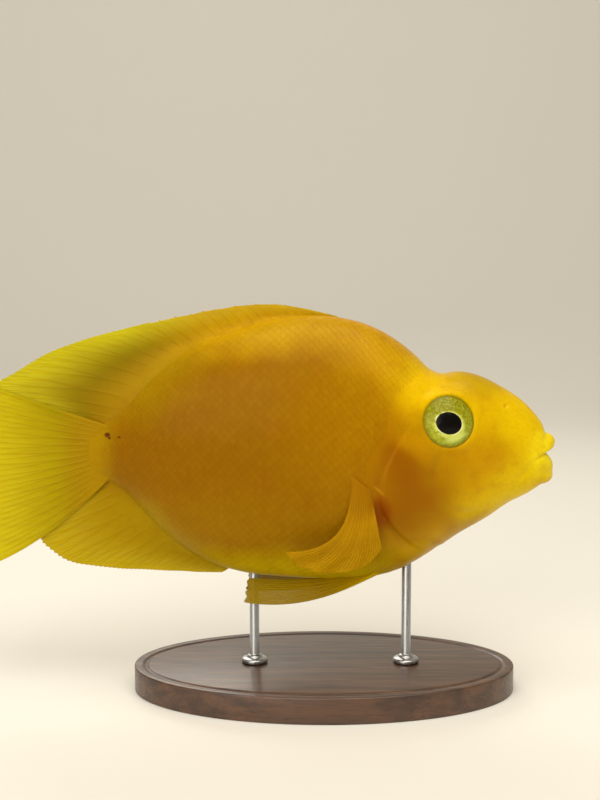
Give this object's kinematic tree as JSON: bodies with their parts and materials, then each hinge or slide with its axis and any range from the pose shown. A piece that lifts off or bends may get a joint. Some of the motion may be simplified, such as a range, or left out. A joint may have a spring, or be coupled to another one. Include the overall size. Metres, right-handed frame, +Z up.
{
  "type": "blood parrot cichlid display model",
  "caption": "Life-size still model of a blood parrot cichlid, swimming, with ray-ridged fins, held by two short rods on a flat oval base.",
  "frame": {"origin": "under the middle of the whole model, on the plane of the base's bottom face", "axes": "+X from the tail towards the snout, +Y towards the fish's left side, +Z up"},
  "size_m": [0.1843, 0.07, 0.1218],
  "materials": {
    "head_skin": "moist bright yellow-orange scaled skin",
    "gill_cover_skin": "moist red-orange skin over the gill cover",
    "flank_skin": "moist amber-orange scaled skin",
    "tail_skin": "moist amber-orange scaled skin",
    "eye": "wet clear eye with a pale green iris and a black pupil",
    "upper_fin": "translucent olive-yellow fin skin over rays",
    "tail_fin": "translucent yellow fin skin over rays",
    "lower_fin": "translucent olive-yellow fin skin over rays",
    "stand_wood": "dark stained wood, satin varnish",
    "stand_steel": "fine brushed steel"
  },
  "bodies": {
    "root": {"head": "head_skin", "gill_cover_l": "gill_cover_skin", "gill_cover_r": "gill_cover_skin", "torso": "flank_skin", "tail": "tail_skin", "eye_l": "eye", "eye_r": "eye", "dorsal_fin_spiny": "upper_fin", "dorsal_fin_soft": "upper_fin", "caudal_fin": "tail_fin", "anal_fin": "lower_fin", "pectoral_fin_l": "lower_fin", "pectoral_fin_r": "lower_fin", "pelvic_fin_l": "lower_fin", "pelvic_fin_r": "lower_fin", "stand_base": "stand_wood", "stand_rod_front": "stand_steel", "stand_rod_rear": "stand_steel"}
  },
  "joints": []
}
